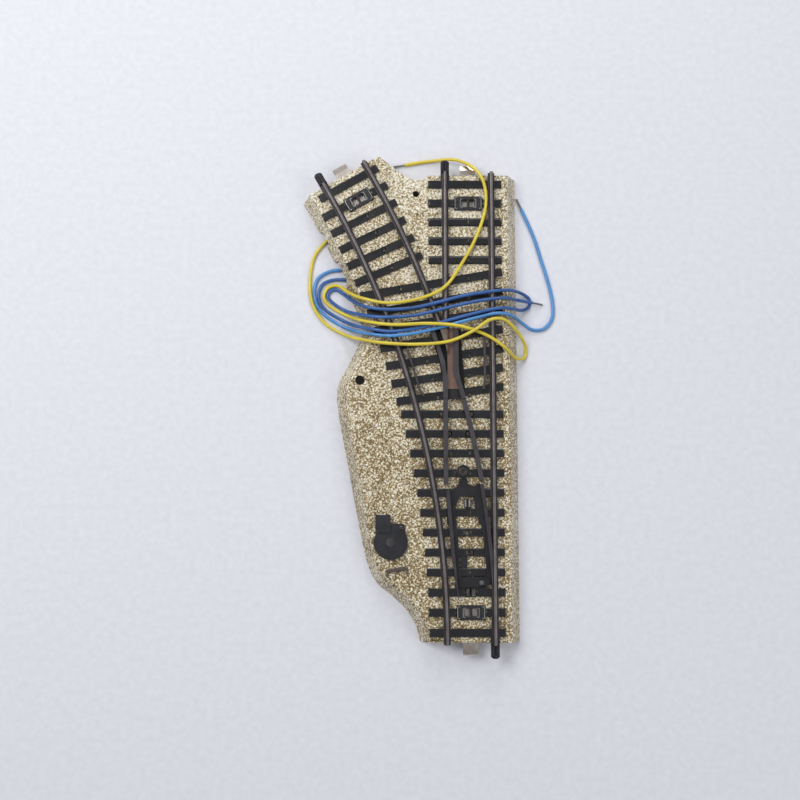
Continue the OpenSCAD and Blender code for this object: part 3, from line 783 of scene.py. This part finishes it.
YELLOW = Lead(
    "yellow_lead", "lead_yellow",
    # Extruded PVC: a soft gloss, slightly greyed by age
    Moulded("pvc_yellow", "#d9c53a", "#c9b436", roughness=0.36, flow_mm=9.0, coat=0.15),
    (
        (-51.5, 157.5, 1.3), (-55.2, 155.6, 0.8), (-60.6, 148, 0.65), (-61.7, 134, 0.65),
        (-57.2, 124, 0.65), (-48.8, 118.2, 1.4), (-40.4, 115, 7.5), (-32, 113.2, 11.3),
        (-20, 112.7, 11.5), (-8, 113.8, 11.8), (1, 117.4, 13.6), (7.4, 121.6, 14.2),
        (13, 122.2, 12.2), (18.2, 118.8, 7.2), (22.2, 113.8, 1.8), (22, 109, 0.8),
        (18, 108.4, 5.3), (13, 112, 10.9), (6, 116.4, 11.8), (-4, 119.6, 12.8),
        (-16, 120.5, 12.9), (-29, 120.2, 12), (-39, 122, 8.3), (-47, 125.4, 1.6),
        (-54, 129.4, 0.65), (-56.4, 133, 0.65), (-54.6, 136.8, 0.65), (-50.6, 137.4, 0.65),
        (-46.4, 134.2, 3.6), (-41.4, 131, 9.5), (-31, 128.6, 12), (-18.6, 130.6, 11.5),
        (-9.6, 134.8, 11.7), (-3.4, 143.4, 9.2), (3.4, 156, 8.85), (7, 169, 8.85),
        (4.6, 180, 8.9), (-3.6, 187, 4.4), (-14, 187.8, 0.8), (-24.6, 186.2, 0.65),
    ),
)

BLUE_LOWER = Lead(
    "blue_lead_lower", "lead_blue_lower",
    Moulded("pvc_light_blue", "#4c8cc9", "#3f7bb6", roughness=0.36, flow_mm=9.0, coat=0.15),
    (
        (-45.6, 145.4, 1.3), (-49.4, 144, 0.9), (-54.8, 143, 0.65), (-59.2, 139.6, 0.65),
        (-60, 133, 0.65), (-57.2, 127, 0.65), (-50.8, 122.4, 0.65), (-44.6, 119.4, 3.2),
        (-38.4, 117.2, 8.8), (-30.6, 116, 11.4), (-21.6, 116.9, 11.4), (-12.6, 118.9, 11.4),
        (-4, 121.2, 11.4), (4, 123.3, 11.4), (11, 124.8, 11.2), (16.4, 124.4, 8.2),
        (21, 122.4, 2.6), (25.4, 120, 0.7), (30, 120.6, 0.65), (33.2, 125, 0.65),
        (33.2, 132, 0.65), (31.4, 140, 0.65), (29, 148, 0.65), (26.6, 156, 0.65),
        (23.8, 163, 0.65), (21.4, 168.4, 0.65),
    ),
)

BLUE_UPPER = Lead(
    "blue_lead_upper", "lead_blue_upper",
    Moulded("pvc_deep_blue", "#2f5fa2", "#284f88", roughness=0.36, flow_mm=9.0, coat=0.15),
    (
        (-43.8, 141.4, 1.3), (-47.6, 140, 0.9), (-52.4, 139.9, 0.65), (-57, 138, 0.65),
        (-58.4, 133, 0.65), (-56, 128.2, 0.65), (-49.8, 124.2, 0.65), (-43.6, 121, 4.2),
        (-37.2, 118.8, 9.8), (-29.6, 117.7, 11.4), (-18, 119.3, 11.4), (-6, 122.6, 11.4),
        (6, 125.7, 11.4), (12.4, 126.9, 10.9), (17, 127.1, 7.8), (21, 127.4, 2.2),
        (24, 129.2, 0.65), (24, 132.4, 0.65), (20.4, 134.4, 2.6), (15.6, 134.2, 8.8),
        (8.4, 133.2, 11.7), (-2, 131.6, 11.4), (-12, 129, 11.4), (-22, 126.8, 11.4),
        (-32, 126.2, 11.6), (-39.8, 127.6, 9.7), (-44.8, 130.8, 4), (-49.2, 134.6, 0.65),
        (-52.2, 136, 0.65), (-54.7, 134.2, 0.65), (-53.6, 131.4, 0.65), (-47.6, 127.4, 1.4),
        (-40.2, 124.5, 8.2), (-32, 123.2, 11.5), (-20, 124.1, 11.4), (-8, 127, 11.4),
        (4, 129.6, 11.4), (13.4, 130.8, 10.8), (19, 131, 5.2), (25.2, 130.4, 2.4),
    ),
)


# ------------------------------------------------------------------ sub-assemblies


def dress(nodes: Iterable[str], finish: bpy.types.Material) -> None:
    """Gives CAD nodes that stay as they are their finish.

    Args:
        nodes: Names of the nodes.
        finish: Material for them.
    """
    for node in nodes:
        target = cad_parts[node]
        target.data.materials.clear()
        target.data.materials.append(finish)
        LOG.info("dressed %s with %s", node, finish.name)


def rebuilt(
    node: str, name: str, width_mm: float, finish: bpy.types.Material, body: Body,
    steps: int = 2, shortest_mm: float = 0.0,
) -> bpy.types.Object:
    """Replaces a CAD node with a copy that has rounded edges.

    Args:
        node: The CAD node.
        name: Name of the new piece.
        width_mm: Width of the rounding.
        finish: Its material.
        body: Body that it rides on.
        steps: Faces across the rounding.
        shortest_mm: Edges shorter than this stay sharp.

    Returns:
        The new piece.
    """
    piece = eased(copy_of(node, name), width_mm, steps, shortest_mm)
    piece.data.materials.append(finish)
    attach(piece, body.value)
    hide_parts(node)
    LOG.info("built %s for %s", name, node)
    return piece


@dataclass
class BallastBed:
    """The printed ballast sheet with its pressed sleepers."""

    sleeper_round: float = 0.6
    shortest_edge: float = 2.2
    enamel: Lacquer = Lacquer(
        # Glossy black print over the pressed sleepers, with a soft highlight along the edge
        "black_printed_enamel", "#101013", "#1b1b20", roughness=0.2, coat=0.5
    )
    ballast: PrintedBallast = PrintedBallast()
    sleepers: tuple[str, ...] = (
        "sleepers_toe", "sleepers_frog", "sleepers_straight_end", "sleepers_branch_end",
    )

    def build(self) -> None:
        """Makes the sleepers with the soft edges that pressing gives."""
        enamel = self.enamel.material()
        for node in self.sleepers:
            rebuilt(
                node, "pressed_" + node, self.sleeper_round, enamel, Body.BED, 4, self.shortest_edge
            )

    def dress(self) -> None:
        """Prints the ballast."""
        dress(("ballast_shell", "ballast_shoulder"), self.ballast.material())


@dataclass
class Rails:
    """Running rails, closure rails, frog and check rails."""

    rail_top: float = RAIL_TOP_MM
    edge: float = 0.09
    # Band of X in which the strip under the frog is bare
    throat: tuple[float, float] = (-8.4, -4.1)
    browned: tuple[str, ...] = (
        "stock_rail_straight", "stock_rail_curved", "exit_rail_straight", "exit_rail_branch",
    )
    blackened: tuple[str, ...] = (
        "closure_rail_straight", "closure_rail_curved", "frog_wings", "frog_nose",
        "check_rail_straight", "check_rail_branch",
    )

    def build(self) -> None:
        """Makes the rails with folded, slightly round edges."""
        brown = Metal(
            # Browned tin-plate: dark brown-grey oxide, rubbed lighter on the head
            "browned_steel_rail", "#3a3536", "#4a4546", roughness=0.4, metallic=0.6,
            lay=Lay.ALONG_Y, rubbed_above_mm=self.rail_top - 0.05, rubbed="#767070",
        ).material()
        black = Metal(
            # Chemically blackened steel: almost no shine, a trace of wear
            "blackened_steel", "#201e20", "#2b292c", roughness=0.42, metallic=0.3,
            rubbed_above_mm=self.rail_top, rubbed="#464246",
        ).material()
        frog = Metal(
            # Blackened frog nose whose running edges are rubbed through to brown
            "rubbed_black_frog", "#242022", "#312c2d", roughness=0.38, metallic=0.4,
            rubbed_above_mm=self.rail_top, rubbed="#8a7a70",
        ).material()
        for node in self.browned:
            rebuilt(node, "folded_" + node, self.edge, brown, Body.BED)
        for node in self.blackened:
            finish = frog if node == "frog_nose" else black
            rebuilt(node, "formed_" + node, self.edge, finish, Body.BED)
        floor = Metal(
            # Bare strip under the frog, heat-tinted rose brown
            "rose_brown_strip", "#94786c", "#7f675c", roughness=0.4, metallic=0.6,
            bare_between_mm=self.throat,
        ).material()
        rebuilt("frog_floor_plate", "frog_floor", self.edge, floor, Body.BED)


class TrackEnd(Enum):
    """The three ends of the turnout: middle of the end face in mm, and heading in degrees."""

    TOE = (0.0, 0.0, 180.0)
    STRAIGHT = (0.0, FAR_END_MM, 0.0)
    BRANCH = (
        BRANCH_RADIUS_MM * math.cos(math.radians(BRANCH_TURN_DEG)) - BRANCH_RADIUS_MM,
        FAR_END_MM,
        BRANCH_TURN_DEG,
    )

    def place(self) -> Matrix:
        """Finds where the end's own axes lie: Y out of the track and X to its right."""
        x, y, turn = self.value
        return Matrix.Translation((x, y, 0)) @ Matrix.Rotation(math.radians(turn), 4, "Z")


@dataclass
class ContactWindow:
    """Window in an end with its insulator, spring, copper contacts and bright clips."""

    end: TrackEnd
    # Y of the window's middle in the end's own axes, and height of the insulator's top
    middle: float = -11.25
    level: float = 8.2
    # Each clip's distance from the window's middle and half its length
    clip_places: tuple[tuple[float, float], ...] = ((5.05, 2.3), (3.0, 1.8))
    clip_width: float = 0.28
    clip_foot: float = 0.8
    clip_sunk: float = 0.05
    clip_rise: float = 0.16

    def build(self) -> None:
        """Makes the insulator, the joint tab and the clips that hold the insulator."""
        key = self.end.name.lower()
        bakelite = Moulded(
            # Phenolic moulding: near black, dull satin
            "phenolic_moulding", "#17161a", "#232227", roughness=0.4,
        ).material()
        rebuilt("window_insulator_" + key, "insulator_" + key, 0.15, bakelite, Body.BED)
        tab = Metal(
            # Blackened tongue, a little shinier than the rail
            "blackened_joint_tab", "#2b292d", "#3a383c", roughness=0.3, metallic=0.6,
        ).material()
        rebuilt("joiner_tab_" + key, "joint_tab_" + key, 0.12, tab, Body.BED)
        self.clips(key)

    def clips(self, key: str) -> None:
        """Makes the bracket-shaped clips on both sides of the contacts.

        Args:
            key: Name of the end.
        """
        blocks: list[tuple[Point, Point]] = []
        t = self.clip_width
        z0, z1 = self.level - self.clip_sunk, self.level + self.clip_rise
        for side in (-1, 1):
            for reach, half in self.clip_places:
                x = side * reach
                blocks.append(((x - t / 2, self.middle - half, z0), (x + t / 2, self.middle + half, z1)))
                for y in (self.middle - half, self.middle + half - t):
                    inner = x - side * self.clip_foot
                    blocks.append(((min(x, inner), y, z0), (max(x, inner), y + t, z1)))
        clip = joined_blocks("window_clips_" + key, blocks, self.end.place())
        clip.data.materials.append(
            Metal("bright_nickel_clip", "#d6d4d0", "#a9a7a2", roughness=0.22).material()
        )
        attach(clip, Body.BED.value)
        LOG.info("built window clips at the %s end", key)

    def dress(self) -> None:
        """Finishes the contact spring."""
        bronze = Metal(
            # Phosphor bronze under a worn nickel flash: warm grey with marks along the spring
            "nickel_flashed_bronze", "#b5a79c", "#cfcac3", roughness=0.28, lay=Lay.ALONG_Y,
        ).material()
        dress(("contact_spring_" + self.end.name.lower(),), bronze)


@dataclass
class Points:
    """Blades, heel plate, tie bar and pin that swing about the rivet, and what is fixed near them."""

    edge: float = 0.08

    def build(self) -> None:
        """Makes the moving pieces and the fixed ones between the blades."""
        black = Metal(
            "blackened_steel_points", "#1c1b1e", "#29272b", roughness=0.38, metallic=0.3,
            rubbed_above_mm=RAIL_TOP_MM, rubbed="#4a464a",
        ).material()
        for node in ("blade_curved", "blade_straight", "heel_plate", "tie_bar"):
            rebuilt(node, "formed_" + node, self.edge, black, Body.POINTS)
        enamel = Lacquer("black_enamel_panel", "#151519", "#222227", roughness=0.3, coat=0.4).material()
        rebuilt("slide_panel", "slide_cover_panel", 0.15, enamel, Body.BED)
        bakelite = Moulded("phenolic_block", "#17161a", "#232227", roughness=0.4).material()
        rebuilt("heel_contact_block", "heel_insulator", 0.15, bakelite, Body.BED)
        nickel = Metal("nickel_contact", "#c9c6c0", "#a29e97", roughness=0.25).material()
        rebuilt("heel_contact_strips", "heel_contacts", 0.1, nickel, Body.BED)
        steel = Metal(
            # Browned rivet, a little lighter than the rails
            "browned_rivet", "#55504f", "#6f6a68", roughness=0.3,
        ).material()
        rebuilt("pivot_rivet", "hollow_rivet", 0.2, steel, Body.BED, 3)

    def dress(self) -> None:
        """Finishes the pin and the stud strips."""
        # Nickel tarnished dark, with small lighter patches
        nickel = Metal(
            "tarnished_nickel_studs", "#5b5752", "#8d8880", roughness=0.28, patch_mm=2.0
        ).material()
        dress(("stud_strip_toe", "stud_strip_straight", "stud_strip_branch"), nickel)
        dress(("drive_pin",), Metal("drawn_steel_pin", "#9b9b9d", "#7c7c7f").material())


@dataclass
class Drive:
    """Hand lever, lantern clip, coils, slide and the cover under them."""

    def build(self) -> None:
        """Makes the lever and the pieces on the top of the ballast."""
        black = Lacquer(
            # Black lacquer on sheet steel, slightly greyed by fingers
            "black_lever_lacquer", "#17171b", "#2a2a31", roughness=0.3, coat=0.35,
        ).material()
        rebuilt("hand_lever", "lever_disc", 0.16, black, Body.LEVER, 3)
        steel = Metal("browned_shaft", "#4d494a", "#6c6765", roughness=0.34).material()
        rebuilt("lever_shaft", "riveted_shaft", 0.15, steel, Body.LEVER, 3)
        rebuilt("lever_rivet", "corner_rivet", 0.05, steel, Body.LEVER)
        clip = Metal(
            # Nickel-flashed copper strip: a dull warm grey with fine rolling marks
            "copper_flash_clip", "#85786f", "#5f5650", roughness=0.36, lay=Lay.ACROSS_X,
        ).material()
        rebuilt("lantern_clip", "lantern_strip", 0.12, clip, Body.BED)
        khaki = Lacquer(
            "khaki_cover_lacquer", "#8d8a72", "#7c7a64", roughness=0.42, coat=0.1,
        ).material()
        rebuilt("drive_cover", "underside_cover", 0.2, khaki, Body.BED, shortest_mm=1.5)
        zinc = Metal("zinc_plated_screw", "#b5b5b2", "#8f8f90", roughness=0.3).material()
        rebuilt("cover_screws", "countersunk_screws", 0.08, zinc, Body.BED)

    def dress(self) -> None:
        """Finishes what lies under the sheet."""
        zinc = Metal("zinc_plated_sheet", "#a3a4a3", "#83858a", roughness=0.36, lay=Lay.ALONG_Y).material()
        dress(("slide_guides", "coil_yoke", "cover_posts"), zinc)
        steel = Metal("bright_steel", "#9c9ca0", "#808086").material()
        dress(("slide_plate", "lever_crank", "armature"), steel)
        dress(("bobbin_front", "bobbin_rear"), Moulded("bobbin_plastic", "#d8ceb2", "#c9bd9c").material())
        dress(("winding_front", "winding_rear"), WoundWire().material())
        dress(
            ("terminal_board",),
            Moulded("laminated_paper", "#7a4a28", "#62391d", roughness=0.5, grain_mm=0.5).material(),
        )
        dress(("solder_tags",), Metal("tinned_tag", "#b4b3ae", "#8c8b87", roughness=0.34).material())


# ------------------------------------------------------------------ stage, light and camera


@dataclass
class Studio:
    """Pale floor, soft light and the camera."""

    # Camera: place in mm, turn about each axis in degrees, focal length and sensor width in mm
    eye: Point = (-30.08, 43.09, 464.7)
    turn: Point = (6.072, -0.4253, -0.0809)
    focal_length: float = 54.0
    sensor_width: float = 36.0
    floor_reach: float = 2500.0
    floor_grain: float = 2.5
    # A hair below the rim, so that the two faces don't share a plane
    floor_z: float = -0.02
    # Point that the lamps face
    aim: Point = (-20.0, 90.0, 0.0)
    # Each lamp's name, place, side in mm and power in watts
    lamps: tuple[tuple[str, Point, float, float], ...] = (
        ("key_light", (-420, 330, 620), 420, 3.4),
        ("fill_light", (520, -150, 560), 500, 1.5),
        ("back_light", (60, 760, 420), 380, 2.0),
    )
    surround: str = "#eef0f6"
    surround_strength: float = 0.42

    def camera(self) -> None:
        """Sets the camera up."""
        data = bpy.data.cameras.new("camera")
        data.lens = self.focal_length
        data.sensor_width = self.sensor_width
        data.clip_start = 0.01
        data.clip_end = 20.0
        camera = bpy.data.objects.new("camera", data)
        camera.location = Vector(self.eye) * MM
        camera.rotation_euler = [math.radians(a) for a in self.turn]
        bpy.context.scene.collection.objects.link(camera)
        bpy.context.scene.camera = camera

    def floor(self) -> None:
        """Makes the pale floor."""
        r = self.floor_reach
        z = self.floor_z
        floor = mesh_piece("floor", [(-r, -r, z), (r, -r, z), (r, r, z), (-r, r, z)], [(0, 1, 2, 3)])
        g = Graph("pale_paper_floor")
        grain = g.add(
            "ShaderNodeTexNoise", {"Scale": 1 / self.floor_grain, "Detail": 3.0}, {"Vector": g.mm}
        )
        tone = g.add(
            "ShaderNodeValToRGB",
            {"stops": [(0.3, "#d3d4db"), (0.7, "#dadbe1")]},
            {"Fac": grain.outputs["Fac"]},
        )
        floor.data.materials.append(g.finish({"Roughness": 0.8}, {"Base Color": tone.outputs["Color"]}))

    def lamp(self, name: str, place: Point, size: float, power: float) -> None:
        """Adds a soft square light that faces the aim.

        Args:
            name: Name of the light.
            place: Its place, in millimetres.
            size: Its side, in millimetres.
            power: Its power in watts.
        """
        data = bpy.data.lights.new(name, "AREA")
        data.size = size * MM
        data.energy = power
        lamp = bpy.data.objects.new(name, data)
        lamp.location = Vector(place) * MM
        way = (Vector(self.aim) - Vector(place)).normalized()
        lamp.rotation_euler = way.to_track_quat("-Z", "Y").to_euler()
        bpy.context.scene.collection.objects.link(lamp)

    def lights(self) -> None:
        """Sets the lights and the even surround."""
        for name, place, size, power in self.lamps:
            self.lamp(name, place, size, power)
        world = bpy.data.worlds.new("even_surround")
        world.use_nodes = True
        background = world.node_tree.nodes["Background"]
        background.inputs["Color"].default_value = linear(self.surround)
        background.inputs["Strength"].default_value = self.surround_strength
        bpy.context.scene.world = world
        bpy.context.scene.view_settings.view_transform = "Standard"


def main() -> None:
    """Builds and dresses the turnout, sub-assembly by sub-assembly."""
    logging.basicConfig(level=logging.INFO, format="%(name)s: %(message)s")
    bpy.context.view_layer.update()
    studio = Studio()
    studio.camera()
    for lead in (YELLOW, BLUE_LOWER, BLUE_UPPER):
        lead.build()
        LOG.info("laid %s, %.0f mm", lead.name, length_of(lead.line()))
    bed = BallastBed()
    bed.build()
    bed.dress()
    Rails().build()
    for end in TrackEnd:
        window = ContactWindow(end)
        window.build()
        window.dress()
    points = Points()
    points.build()
    points.dress()
    drive = Drive()
    drive.build()
    drive.dress()
    studio.floor()
    studio.lights()


if __name__ == "__main__":
    main()
